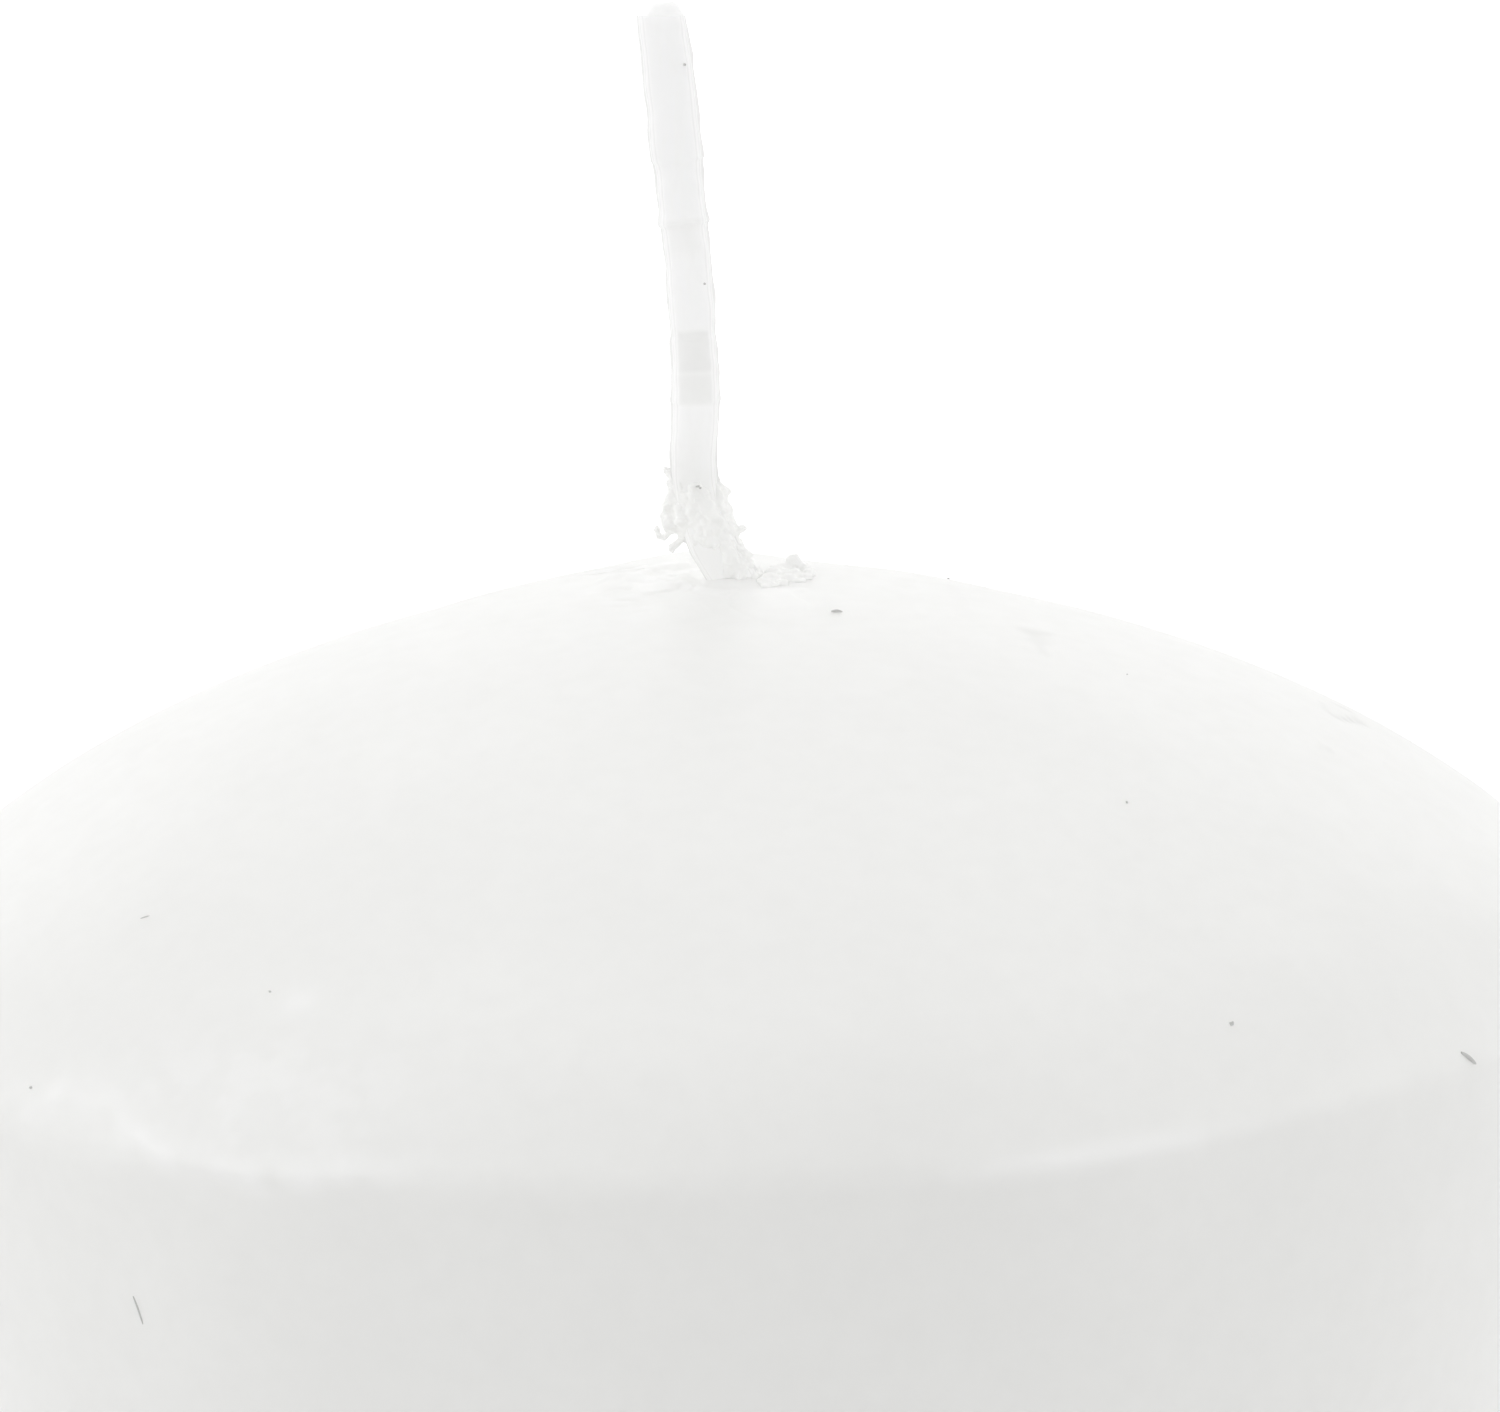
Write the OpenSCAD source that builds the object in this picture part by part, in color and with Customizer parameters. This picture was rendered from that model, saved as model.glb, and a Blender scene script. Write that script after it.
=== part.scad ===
// Floating candle: a domed wax body with a plaited wick, which floats in a bowl of water or stands on a table.
// The origin is the middle of the flat base, +Z is up, and the front of the candle faces -Y. Sizes are in mm.

/* [Wax body] */
// Diameter across the rim, the candle's widest place
rim_d = 45; // [42:0.5:54]
// Height of the wax, from the base to the top of the dome
wax_h = 30; // [27:0.5:36]
// Radius of the dome's broad crown
crown_r = 34.4; // [33:0.2:50]
// Radius of the rounder shoulder, between the crown and the rim
shoulder_r = 8.2; // [5:0.1:9]
// Slope of the dome where it meets the rim edge, in degrees from level
shoulder_slope = 61; // [56:1:68]
// Radius of the soft edge round the rim
rim_edge_r = 1.2; // [0.6:0.1:2]
// Inward draft of the wall just under the rim, in degrees
wall_draft = 4; // [2:0.5:6]
// Radius of the wall's slight belly, from the rim down to the base edge
wall_r = 60; // [55:1:90]
// Radius of the round edge at the base
base_edge_r = 6; // [4:0.5:8]

/* [Rim flat] */
// Depth of the flat that was pressed into the rim edge
flat_depth = 0.16; // [0.05:0.01:0.4]
// Place of the flat round the rim, in degrees from +X
flat_angle = 228; // [0:1:359]
// How far the flat faces up, in degrees
flat_tilt = 14; // [0:1:29]

/* [Wick] */
// Width of the bare wick, across the front
wick_w = 1.14; // [0.9:0.02:1.6]
// Depth of the bare wick, from front to back
wick_t = 1.06; // [0.8:0.02:1.5]
// Length of wick that stands out of the dome
wick_out = 14.5; // [12:0.1:22]
// How far the wick hole is to the right of the middle
hole_right = 0.55; // [-2:0.05:2]
// How far the wick hole is behind the middle
hole_back = 0; // [-2:0.05:2]
// Gap between the wick and what it passes through
wick_gap = 0.06; // [0.02:0.01:0.15]
// Thickness of the wax coat on the part of the wick that shows
coat = 0.04; // [0.03:0.005:0.06]
// Radius of the bead of wax on the cut tip
bead_r = 0.34; // [0.25:0.01:0.45]
// Width of the broken funnel that the wick left round its hole
funnel_d = 2.3; // [2.1:0.1:3]
// Depth of that funnel
funnel_h = 0.7; // [0.5:0.1:1.2]

/* [Sustainer] */
// Diameter of the metal disc under the wick
disc_d = 12.5; // [10:0.5:16]
// Thickness of its sheet
sheet_t = 0.3; // [0.2:0.05:0.5]
// Height of the crimped neck, from the top of the disc
neck_h = 3; // [2:0.1:5]
// Radius of the fold between the disc and its neck
neck_fold_r = 0.5; // [0.3:0.1:0.8]
// Depth of the stiffening groove in the disc
groove_depth = 0.15; // [0.1:0.05:0.2]
// Diameter of the ring that the groove follows
groove_d = 8.4; // [7:0.1:9]
// How far the disc lies above the base of the candle
disc_lift = 0.25; // [0.1:0.05:0.6]
// Gap between the disc and its seat in the wax
seat_gap = 0.1; // [0.05:0.05:0.3]

/* [Crumbs] */
// Size of a typical crumb on the wick
crumb_size = 0.82; // [0.7:0.01:1]
// Size of a typical crumb in the heap on the dome
heap_size = 0.85; // [0.75:0.01:1]
// Gap under a crumb, where it lies on the wax or against the wick
crumb_gap = 0.01; // [0.005:0.005:0.02]

/* [Flake] */
// Length of the thin flake on the dome
flake_l = 3.3; // [2:0.1:5]
// Width of the flake at its middle
flake_w = 1.1; // [0.6:0.1:2]
// Thickness of the flake
flake_t = 0.16; // [0.1:0.01:0.25]
// Middle of the flake, to the left of the wick hole
flake_left = 3.4; // [2.5:0.1:4.5]
// Middle of the flake, behind the wick hole
flake_back = 3.2; // [3:0.1:6]
// Turn of the flake on the dome, in degrees
flake_turn = -42; // [-60:1:30]

/* [Hidden] */

WAX = [0.95, 0.95, 0.94];
COTTON = [0.94, 0.94, 0.93];
TIN = [0.72, 0.73, 0.74];
ROUND = 180;         // facets round the turned pieces
ARC_STEP = 2.2;      // largest turn between two points of an arc, in degrees
OVER = 1;            // how far a cutter runs past the face that it cuts

// A point at a distance and angle from a centre
function polar(c, r, a) = [c[0] + r * cos(a), c[1] + r * sin(a)];
// The points of an arc about a centre, from one angle to another
function arc(c, r, from, to) =
    let (n = max(2, ceil(abs(to - from) / ARC_STEP)))
    [for (i = [0 : n]) polar(c, r, from + (to - from) * i / n)];

// The dome, rim, wall and base edge are arcs that run into each other without a corner. Each centre lies
// on the line through the last centre and the point where the two arcs meet.
rim_r = rim_d / 2;
rim_up = 90 - shoulder_slope;
rim_x = rim_r - rim_edge_r;
shoulder_in = (shoulder_r - rim_edge_r) * [cos(rim_up), sin(rim_up)];
shoulder_x = rim_x - shoulder_in[0];
crown_drop = sqrt(pow(crown_r - shoulder_r, 2) - pow(shoulder_x, 2));
dome_h = crown_r - crown_drop - shoulder_in[1];
rim_z = wax_h - dome_h;
crown_c = [0, wax_h - crown_r];
shoulder_c = [shoulder_x, rim_z - shoulder_in[1]];
rim_c = [rim_x, rim_z];
wall_c = polar(rim_c, wall_r - rim_edge_r, 180 - wall_draft);
base_edge_c = [
    wall_c[0] + sqrt(pow(wall_r - base_edge_r, 2) - pow(wall_c[1] - base_edge_r, 2)), base_edge_r];
crown_side = atan2(crown_drop, shoulder_x);
wall_side = atan2(base_edge_r - wall_c[1], base_edge_c[0] - wall_c[0]);
profile = concat(
    [[0, 0]],
    arc(base_edge_c, base_edge_r, -90, wall_side),
    arc(wall_c, wall_r, wall_side, -wall_draft),
    arc(rim_c, rim_edge_r, -wall_draft, rim_up),
    arc(shoulder_c, shoulder_r, rim_up, crown_side),
    arc(crown_c, crown_r, crown_side, 90));

// Height of the dome's crown at a place on it
function crown_z(x, y) = crown_c[1] + sqrt(pow(crown_r, 2) - x * x - y * y);
hole = [hole_right, hole_back];
foot_z = crown_z(hole[0], hole[1]);

// The wick's section is a square with round corners: a superellipse, which is squarer than an ellipse.
SQUARENESS = 3.4;
SIDES = 16;
function signed_pow(v, p) = sign(v) * pow(abs(v), p);
function wick_section(w, t) = [
    for (i = [0 : SIDES - 1])
        let (a = 360 * (i + 0.5) / SIDES)
        [w / 2 * signed_pow(cos(a), 2 / SQUARENESS), t / 2 * signed_pow(sin(a), 2 / SQUARENESS)]];
wick_reach = max([for (p = wick_section(wick_w, wick_t)) norm(p)]);
hole_r = wick_reach + wick_gap;

// The route of the wick that shows: how far it is to the right of its hole, how far behind it, and how high
// over the dome, for a length of 14.5. It leans left out of its hole, kinks, and leans left again at its top.
ROUTE_H = 14.5;
ROUTE = [
    [0, 0, 0], [-0.28, -0.02, 0.5], [-0.56, -0.04, 1.05], [-0.8, -0.06, 1.7], [-0.97, -0.06, 2.45],
    [-1.01, -0.04, 3.25], [-0.94, 0, 4], [-0.89, 0.02, 4.8], [-0.9, 0.05, 6.3], [-0.96, 0.08, 7.9],
    [-1.06, 0.08, 9.5], [-1.16, 0.05, 11.1], [-1.28, 0.02, 12.8], [-1.43, 0, 14.5]];
// Coat thickness up the wick, as a share of the plain coat: it cracked into steps as the wick was bent
COAT_STEPS = [
    [0, 1], [4.7, 0.9], [4.8, 1.5], [6.3, 1.3], [6.4, 0.9], [9.2, 1], [9.3, 2.2], [9.6, 1], [10.8, 1.4],
    [10.9, 2.4], [12.6, 2.3], [13.6, 1.8], [14.5, 1.2]];
STEPS = 5;           // rings between two points of the route
TAIL = 2.5;          // lowest point under the dome from which the wick can bend

wick_low = disc_lift + sheet_t / 2;
rise = wick_out / ROUTE_H;
way = concat(
    [for (share = [1, 0.6, 0.3]) [hole[0], hole[1], foot_z - TAIL * share]],
    [for (p = ROUTE) [hole[0] + p[0], hole[1] + p[1], foot_z + p[2] * rise]]);
// A smooth curve through four points (Catmull-Rom), between the middle two
function between(a, b, c, d, t) =
    (2 * b + (c - a) * t + (2 * a - 5 * b + 4 * c - d) * t * t + (3 * b - a - 3 * c + d) * t * t * t) / 2;
function smooth(p) = concat(
    [for (i = [0 : len(p) - 2], k = [0 : STEPS - 1])
        between(p[max(i - 1, 0)], p[i], p[i + 1], p[min(i + 2, len(p) - 1)], k / STEPS)],
    [p[len(p) - 1]]);
function unit(v) = v / norm(v);
function coat_at(h) = h < 0 ? 0 : coat * lookup(h / rise, COAT_STEPS);

// The wick as a skin over its rings, larger all round by grow
module wick_sweep(grow = 0) {
    line = concat([[hole[0], hole[1], wick_low]], smooth(way));
    last = len(line) - 1;
    rings = [for (i = [0 : last])
        let (
            ahead = unit(line[min(i + 1, last)] - line[max(i - 1, 0)]),
            across = unit(cross([0, 1, 0], ahead)),
            back = cross(ahead, across),
            more = 2 * (coat_at(line[i][2] - foot_z) + grow))
        for (q = wick_section(wick_w + more, wick_t + more)) line[i] + across * q[0] + back * q[1]];
    sides = [for (i = [0 : last - 1], k = [0 : SIDES - 1])
        let (n = (k + 1) % SIDES, a = i * SIDES, b = (i + 1) * SIDES)
        each [[a + k, b + k, b + n], [a + k, b + n, a + n]]];
    low_cap = [[for (k = [0 : SIDES - 1]) k]];
    high_cap = [[for (k = [SIDES - 1 : -1 : 0]) last * SIDES + k]];
    polyhedron(rings, concat(low_cap, high_cap, sides));
}

module wax_solid() {
    rotate_extrude($fn = ROUND) polygon(profile);
}

// Corner reach of a section that leaves a wall round the wick
function reach_of(wall) = max([for (p = wick_section(wick_w + 2 * wall, wick_t + 2 * wall)) norm(p)]);
neck_reach = reach_of(wick_gap + sheet_t);
seat_h = disc_lift + sheet_t;

// The hole, the funnel at its mouth, the seat for the disc and the pocket for the neck, as one cutter
module hole_cutter() {
    pocket_r = neck_reach + seat_gap;
    pocket_h = neck_h + seat_gap;
    funnel_r = funnel_d / 2;
    translate([hole[0], hole[1], 0]) {
        translate([0, 0, -OVER]) cylinder(r = hole_r, h = wax_h + 2 * OVER, $fn = 48);
        translate([0, 0, foot_z - funnel_h])
            cylinder(r1 = hole_r, r2 = funnel_r, h = funnel_h, $fn = 48);
        translate([0, 0, foot_z]) cylinder(r = funnel_r, h = OVER, $fn = 48);
        translate([0, 0, -OVER]) cylinder(r = disc_d / 2 + seat_gap, h = seat_h + OVER, $fn = 96);
        translate([0, 0, seat_h]) cylinder(r1 = pocket_r + neck_fold_r, r2 = pocket_r, h = pocket_h, $fn = 48);
        translate([0, 0, seat_h + pocket_h])
            cylinder(r1 = pocket_r, r2 = hole_r, h = pocket_r - hole_r, $fn = 48);
    }
}

// A block whose inner face lies under the tip of the rim edge, by the depth of the flat
module flat_cutter() {
    block = 12;
    rotate([0, 0, flat_angle]) translate([rim_c[0], 0, rim_c[1]]) rotate([0, -flat_tilt, 0])
        translate([rim_edge_r - flat_depth, -block / 2, -block / 2]) cube(block);
}

module wax_body() {
    color(WAX) difference() {
        wax_solid();
        hole_cutter();
        flat_cutter();
    }
}

module wick() {
    color(COTTON) {
        wick_sweep();
        translate(way[len(way) - 1]) sphere(r = bead_r, $fn = 32);
    }
}

// The disc is one sheet with a pressed groove, and its neck is crimped on to the wick's flat sides.
module wick_sustainer() {
    steps = 24;
    half_groove = 0.9;
    sag = function (r) abs(r - groove_d / 2) > half_groove ? 0 :
        groove_depth * (1 + cos(180 * (r - groove_d / 2) / half_groove)) / 2;
    radii = [for (i = [0 : steps]) groove_d / 2 - half_groove + 2 * half_groove * i / steps];
    low = concat([[0, 0]], [for (r = radii) [r, -sag(r)]], [[disc_d / 2, 0]]);
    high = [for (i = [len(low) - 1 : -1 : 0]) low[i] + [0, sheet_t]];
    color(TIN) translate([hole[0], hole[1], disc_lift]) difference() {
        union() {
            rotate_extrude($fn = 96) polygon(concat(low, high));
            rotate_extrude($fn = 48) polygon(concat(
                [[0, sheet_t / 2], [neck_reach + neck_fold_r, sheet_t / 2]],
                arc([neck_reach + neck_fold_r, sheet_t + neck_fold_r], neck_fold_r, 270, 180),
                [[0, sheet_t + neck_fold_r]]));
            linear_extrude(sheet_t + neck_h)
                polygon(wick_section(wick_w + 2 * (wick_gap + sheet_t), wick_t + 2 * (wick_gap + sheet_t)));
        }
        translate([0, 0, -OVER]) linear_extrude(neck_h + sheet_t + 2 * OVER)
            polygon(wick_section(wick_w + 2 * wick_gap, wick_t + 2 * wick_gap));
    }
}

// The collar of crumbs on the wick, in rows: height over the dome, the angles round the wick where the row
// starts and ends, counted from its right side, and the number of crumbs
COLLAR = [
    [0.2, -80, 90, 5], [0.55, -100, 100, 6], [0.95, -120, 120, 7], [1.35, -160, 185, 9],
    [1.75, -150, 180, 9], [2.15, -160, 180, 9], [2.5, -110, 200, 7], [2.85, 120, 250, 3]];
// Two hooked shavings that hang off the collar's left side: right of the hole, behind it, height and size
SHAVINGS = [
    [-1.6, -0.1, 1.35, 0.62], [-1.78, -0.12, 1.26, 0.5], [-1.93, -0.1, 1.36, 0.42], [-2.02, -0.1, 1.5, 0.36],
    [-1.25, -0.15, 1.22, 0.5], [-1.43, -0.2, 1.12, 0.42], [-1.6, -0.22, 1, 0.34]];
// Crumbs in the heap: how far right of the hole and behind it, height over the dome, and share of size
HEAP = [
    [1.5, 1.1, 0.22, 1.05], [1.72, 0.7, 0.1, 0.85], [1.2, 0.85, 0.15, 0.9], [1.15, 0.4, 0.18, 0.95],
    [1.45, 0.3, 0.15, 1], [1.25, -0.1, 0.14, 0.95], [1.15, -0.55, 0.06, 0.85], [1.55, -0.2, 0.05, 0.85],
    [0.95, -0.9, 0.08, 0.85], [1.75, 0.25, 0.06, 0.8]];
// How much a crumb's size and place in the collar vary, and the numbers that set them
SPREAD = 0.2;
LOT = rands(-1, 1, 120, 7);

// One crumb: a lump with flat broken sides, each turned another way, which reaches half its size and no more
module crumb(size, turn) {
    rotate([37 * turn, 61 * turn, 23 * turn]) hull() {
        cube(size * [0.72, 0.5, 0.5], center = true);
        rotate([0, 35, 20]) cube(size * [0.36, 0.78, 0.4], center = true);
        translate(size * [0.1, 0.05, 0.06]) rotate([40, 0, 50]) cube(size * 0.5, center = true);
    }
}

// What a crumb lies on: the wax and the wick, both a hair larger
module seats() {
    translate([0, 0, crumb_gap]) difference() {
        wax_solid();
        hole_cutter();
    }
    wick_sweep(crumb_gap);
}

// Middle of the wick at a height over the dome
function wick_at(h) = [
    hole[0] + lookup(h, [for (p = ROUTE) [p[2], p[0]]]),
    hole[1] + lookup(h, [for (p = ROUTE) [p[2], p[1]]]),
    foot_z + h * rise];

module wick_crumbs() {
    color(WAX) difference() {
        union() {
            for (row = [0 : len(COLLAR) - 1], i = [0 : COLLAR[row][3] - 1]) {
                c = COLLAR[row];
                n = 9 * row + i;
                a = c[1] + (c[2] - c[1]) * (i + SPREAD * LOT[n]) / (c[3] - 1);
                side = [cos(a) * wick_w / 2, sin(a) * wick_t / 2, SPREAD * LOT[n + 9] / 2];
                translate(wick_at(c[0]) + side) crumb(crumb_size * (1 + SPREAD * LOT[n + 18]), n);
            }
            for (i = [0 : len(SHAVINGS) - 1]) {
                s = SHAVINGS[i];
                translate([hole[0] + s[0], hole[1] + s[1], foot_z + s[2] * rise])
                    crumb(crumb_size * s[3], i);
            }
        }
        seats();
    }
}

// The heap starts where the collar of crumbs on the wick can't reach
module dome_crumbs() {
    collar_r = wick_reach + crumb_size * (1 + SPREAD) / 2;
    color(WAX) difference() {
        for (i = [0 : len(HEAP) - 1]) {
            c = HEAP[i];
            x = hole[0] + c[0];
            y = hole[1] + c[1];
            translate([x, y, crown_z(x, y) + c[2]]) crumb(heap_size * c[3], i + 2);
        }
        seats();
        translate([hole[0], hole[1], 0]) cylinder(r = collar_r, h = wax_h + wick_out, $fn = 32);
    }
}

// The flake is a lens-shaped scrap of the dome's own curve, where two circles overlap.
module wax_flake() {
    bow_r = (pow(flake_l / 2, 2) + pow(flake_w / 2, 2)) / flake_w;
    color(WAX) difference() {
        intersection() {
            translate([0, 0, crumb_gap + flake_t]) wax_solid();
            translate([hole[0] - flake_left, hole[1] + flake_back, rim_z]) rotate([0, 0, flake_turn])
                intersection_for (s = [-1, 1])
                    translate([0, s * (bow_r - flake_w / 2), 0]) cylinder(r = bow_r, h = wax_h, $fn = 96);
        }
        translate([0, 0, crumb_gap]) wax_solid();
    }
}

wax_body();
wick();
wick_sustainer();
wick_crumbs();
dome_crumbs();
wax_flake();
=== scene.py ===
# %% [markdown]
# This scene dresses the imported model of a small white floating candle: a domed body of paraffin wax, a wick
# with its own thin coat of wax, and the crumbs that the wick pushed up when it was drawn through the wax.
# The frame brings every solid at its true size and place, so each piece below takes its sizes from it.

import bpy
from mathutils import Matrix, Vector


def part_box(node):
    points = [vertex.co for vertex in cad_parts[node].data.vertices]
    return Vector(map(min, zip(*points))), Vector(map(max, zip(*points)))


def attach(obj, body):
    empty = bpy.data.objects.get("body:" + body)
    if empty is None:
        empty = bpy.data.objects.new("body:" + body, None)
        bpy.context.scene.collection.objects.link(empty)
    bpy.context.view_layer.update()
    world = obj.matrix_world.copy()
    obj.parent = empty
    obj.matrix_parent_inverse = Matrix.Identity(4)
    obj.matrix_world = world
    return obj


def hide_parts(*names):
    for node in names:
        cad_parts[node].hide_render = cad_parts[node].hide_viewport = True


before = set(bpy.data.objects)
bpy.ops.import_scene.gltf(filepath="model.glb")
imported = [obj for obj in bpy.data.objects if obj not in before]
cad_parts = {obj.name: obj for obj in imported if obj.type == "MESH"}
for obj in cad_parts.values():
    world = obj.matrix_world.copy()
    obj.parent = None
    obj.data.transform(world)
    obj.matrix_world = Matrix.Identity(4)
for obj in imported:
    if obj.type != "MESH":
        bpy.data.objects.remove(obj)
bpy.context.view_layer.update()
print("nodes:", sorted(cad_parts))

# %% [markdown]
# All shapes are worked out with numpy as whole arrays of points, in millimetres, because a candle's details
# are a tenth of a millimetre. They turn into Blender's metres when the points become a mesh.

# %% Libraries and units
import bpy
import numpy as np
from mathutils import Matrix

MM = 0.001
DEG = np.pi / 180
scene = bpy.context.scene


def unit(vectors):
    """The same directions with a length of 1."""
    return vectors / np.linalg.norm(vectors, axis=-1, keepdims=True)


def show(name, data):
    """A new object in the scene for a mesh, a lamp or a camera."""
    made = bpy.data.objects.new(name, data)
    scene.collection.objects.link(made)
    return made


def direction(angle, up):
    """Unit vector at an angle round the candle and an angle above the level, both in radians."""
    return np.array([np.cos(angle) * np.cos(up), np.sin(angle) * np.cos(up), np.sin(up)])


(wax_low, wax_high), (wick_low, wick_high), (disc_low, disc_high) = (
    np.array(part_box(name)) / MM for name in ("wax_body", "wick", "wick_sustainer"))
rim_r = (wax_high[0] - wax_low[0]) / 2
wax_h = wax_high[2]
hole = (disc_low + disc_high)[:2] / 2
print(f"rim {2 * rim_r:.2f} mm across, wax {wax_h:.2f} mm high, wick hole at {hole.round(3)}")


# %% [markdown]
# A ring-by-ring skin is the simplest closed surface: rings of points, each joined to the next by quads. A
# tube or a lump ends in two poles, and the candle's body, which has a hole right through it, runs back to
# its first ring like a doughnut. The last column is joined to the first, so there is no seam to weld, and
# writing whole arrays with foreach_set is many times faster than adding faces one by one.

# %% From rings of points to a mesh
def skin(name, groups, wrap=False):
    """Joins rings of points into closed surfaces.

    groups has the shape (lumps, rings, points, 3). Within each lump, ring i and ring i + 1 are joined by one
    quad per point. With wrap the last ring joins the first; otherwise a pole at the mean of the first ring
    and one at the mean of the last close the ends with fans of triangles. Points run anticlockwise seen from
    the side towards which the rings advance, so the faces point outwards.
    """
    lumps, rings, count = groups.shape[:3]
    ring = np.arange(rings if wrap else rings - 1)[:, None]
    point = np.arange(count)[None]
    after = (point + 1) % count
    up = (ring + 1) % rings
    quads = np.stack([ring * count + point, ring * count + after, up * count + after, up * count + point], -1)
    quads = quads.reshape(1, -1, 4)
    starts = np.arange(lumps)[:, None, None] * (rings * count + (0 if wrap else 2))
    loops = [(quads + starts).reshape(-1)]
    sizes = [np.full(lumps * quads.shape[1], 4)]
    points = groups.reshape(lumps, -1, 3)
    if not wrap:
        points = np.concatenate([points, groups[:, :1].mean(2), groups[:, -1:].mean(2)], 1)
        low, high = rings * count, rings * count + 1
        first = np.stack([np.full(count, low), after[0], point[0]], -1)
        last = np.stack([np.full(count, high), point[0], after[0]], -1) + [0, *[(rings - 1) * count] * 2]
        loops.append((np.concatenate([first, last])[None] + starts).reshape(-1))
        sizes.append(np.full(lumps * 2 * count, 3))
    corners, sizes = np.concatenate(loops), np.concatenate(sizes)
    mesh = bpy.data.meshes.new(name)
    mesh.vertices.add(points.size // 3)
    mesh.vertices.foreach_set("co", (points * MM).astype(np.float32).ravel())
    mesh.loops.add(corners.size)
    mesh.loops.foreach_set("vertex_index", corners.astype(np.int32))
    mesh.polygons.add(sizes.size)
    mesh.polygons.foreach_set("loop_start", np.concatenate([[0], np.cumsum(sizes)[:-1]]).astype(np.int32))
    mesh.polygons.foreach_set("use_smooth", np.full(sizes.size, True))
    mesh.update(calc_edges=True)
    print(f"{name}: {sizes.size} faces, {np.minimum(sizes - 2, 2).sum()} triangles")
    return show(name, mesh)


def keep_values(piece, name, values):
    """Stores one number per point on the mesh, for the material to read. The poles get the value 0."""
    field = piece.data.attributes.new(name, "FLOAT", "POINT")
    padded = np.zeros(len(piece.data.vertices))
    padded[: values.size] = values.ravel()
    field.data.foreach_set("value", padded.astype(np.float32))


# %% [markdown]
# Nothing on a pressed candle is perfectly even. The unevenness is a sum of small sine waves that run in
# random directions. Unlike a picture of noise it has a true size in millimetres, it can be worked out for a
# whole array of points at once, and the seed makes it the same at every run.

# %% Unevenness with a real size
WAVE_LENGTHS = 0.7, 1.6  # shortest and longest wave, as shares of the size asked for


def waves(points, size, seed, count=28):
    """Sum of sine waves in random directions, whose lengths lie round size; its spread is about 1."""
    rng = np.random.default_rng(seed)
    heading = unit(rng.normal(size=(count, 3)))
    turns = 2 * np.pi / (size * rng.uniform(*WAVE_LENGTHS, count))
    phase = rng.uniform(0, 2 * np.pi, count)
    return np.sin(points @ (heading * turns[:, None]).T + phase).sum(-1) * np.sqrt(2 / count)


def blob(points, centre, radius):
    """A soft round hill: 1 at its centre, falling as exp(-(distance / radius) squared)."""
    return np.exp(-(((points - centre) / radius) ** 2).sum(-1))


def along(points, path, width):
    """A soft ridge: exp(-(distance to a line of points / width) squared), over the nearest stretch."""
    path = np.array(path, float)
    best = np.full(points.shape[:-1], np.inf)
    for a, b in zip(path[:-1], path[1:]):
        share = np.clip(((points - a) @ (b - a)) / ((b - a) @ (b - a)), 0, 1)
        best = np.minimum(best, ((points - a - share[..., None] * (b - a)) ** 2).sum(-1))
    return np.exp(-best / width**2)


def step(value, low, high):
    """Smooth step from 0 at low to 1 at high: three times the square of the share less twice its cube."""
    share = np.clip((value - low) / (high - low), 0, 1)
    return share * share * (3 - 2 * share)


# %% [markdown]
# The body's mould was turned on a lathe, so it is drawn as a turned profile: arcs that run into each other
# without a corner. From the foot they are the base edge, the slightly bellied wall, the soft rim, the
# shoulder and the crown. Each centre lies on the line through the last centre and the point where the two
# arcs meet. A Spin or Screw modifier would turn it too, but its rings all have one centre, and this candle's
# wick hole sits a little to the right of the middle. Soft wax has closed the funnel that the wick broke
# there: it follows the wick's own square section and creeps up against it.

# %% The body's profile
CROWN_R, SHOULDER_R, EDGE_R, WALL_R, BASE_R = 34.4, 8.2, 1.2, 60.0, 6.0
SHOULDER_SLOPE, DRAFT = 61 * DEG, 4 * DEG
DISH_R, HOLE_R, MOUTH_RISE, MOUTH_H = 1.5, 0.74, 0.28, 0.35
MOUTH_LEAN, CREEP_RINGS = -0.14, 12
FINE_R = 4.0  # round the hole, the rings stand closer within this radius
SEAT_GAP, SEAT_H = 0.1, 0.55
seat_r = (disc_high[0] - disc_low[0]) / 2 + SEAT_GAP


def turn(centre, radius, angle):
    """The point of a circle at an angle; several angles give a row of x and a row of y."""
    return np.array([centre[0] + radius * np.cos(angle), centre[1] + radius * np.sin(angle)])


def arc(centre, radius, start, end, spacing):
    """Points along an arc, evenly spaced, without the last one, which the next stretch starts with."""
    count = max(2, int(np.ceil(abs(end - start) * radius / spacing)))
    angle = start + (end - start) * np.arange(count) / count
    return turn(centre, radius, angle).T


def straight(start, end, count):
    """Points along a straight line, without the last one."""
    return np.array(start) + (np.array(end) - start) * (np.arange(count) / count)[:, None]


rim_up = 90 * DEG - SHOULDER_SLOPE
rim_x = rim_r - EDGE_R
shoulder_in = (SHOULDER_R - EDGE_R) * np.array([np.cos(rim_up), np.sin(rim_up)])
shoulder_x = rim_x - shoulder_in[0]
crown_drop = np.sqrt((CROWN_R - SHOULDER_R) ** 2 - shoulder_x**2)
rim_z = wax_h - (CROWN_R - crown_drop - shoulder_in[1])
crown_c = np.array([0, wax_h - CROWN_R])
rim_c = np.array([rim_x, rim_z])
shoulder_c = rim_c - shoulder_in
wall_c = turn(rim_c, WALL_R - EDGE_R, 180 * DEG - DRAFT)
base_c = np.array([wall_c[0] + np.sqrt((WALL_R - BASE_R) ** 2 - (wall_c[1] - BASE_R) ** 2), BASE_R])
crown_side = np.arctan2(crown_drop, shoulder_x)
wall_side = np.arctan2(base_c[1] - wall_c[1], base_c[0] - wall_c[0])
foot_z = crown_c[1] + np.sqrt(CROWN_R**2 - hole @ hole)
fine_side, dish_side = np.arccos(FINE_R / CROWN_R), np.arccos(DISH_R / CROWN_R)
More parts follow.
